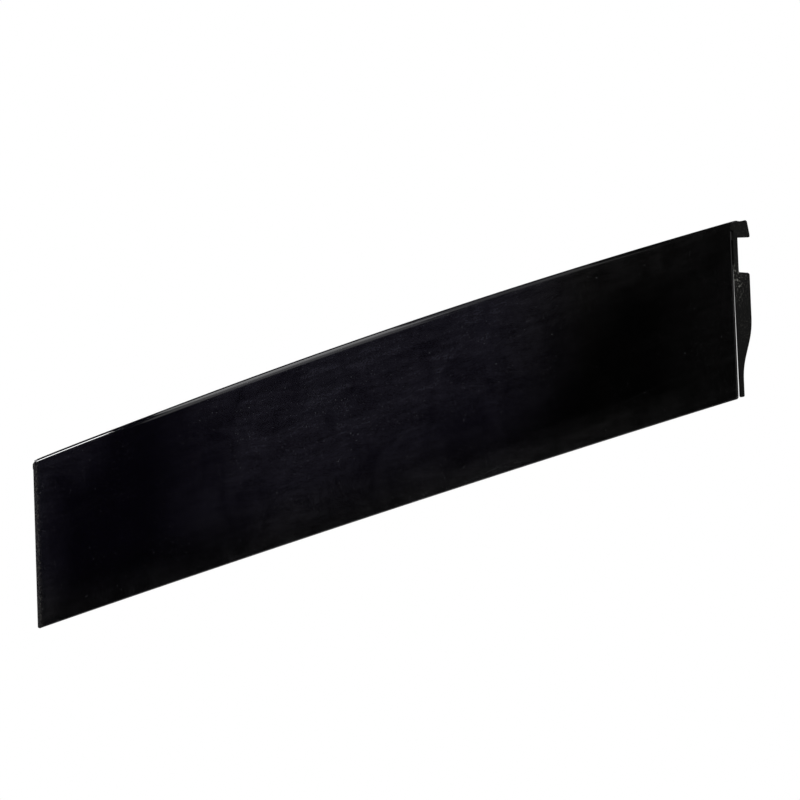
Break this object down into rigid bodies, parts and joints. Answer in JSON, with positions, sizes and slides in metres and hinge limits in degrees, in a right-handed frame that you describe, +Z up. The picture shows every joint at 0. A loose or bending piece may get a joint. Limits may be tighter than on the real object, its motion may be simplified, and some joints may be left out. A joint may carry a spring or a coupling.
{
  "type": "kick plate",
  "caption": "Long gloss black kick plate with an arched top edge, hung by hooked and notched matt black end plates that are bolted on behind the face.",
  "frame": {"origin": "bottom centre of the whole plate's box: mid length, mid depth, level with the lower corners of the face", "axes": "+X along the plate to its right end as seen from the front, +Y from the glossy face to the hooks at the back, +Z up"},
  "size_m": [0.6, 0.0138, 0.106],
  "materials": {
    "gloss_black_enamel": "gloss",
    "matt_black_coating": "matt",
    "plated_steel": "zinc plated"
  },
  "bodies": {
    "root": {"front_panel": "gloss_black_enamel", "right_hanger": "matt_black_coating", "left_hanger": "matt_black_coating", "right_studs": "plated_steel", "left_studs": "plated_steel", "right_nuts": "plated_steel", "left_nuts": "plated_steel"}
  },
  "joints": []
}
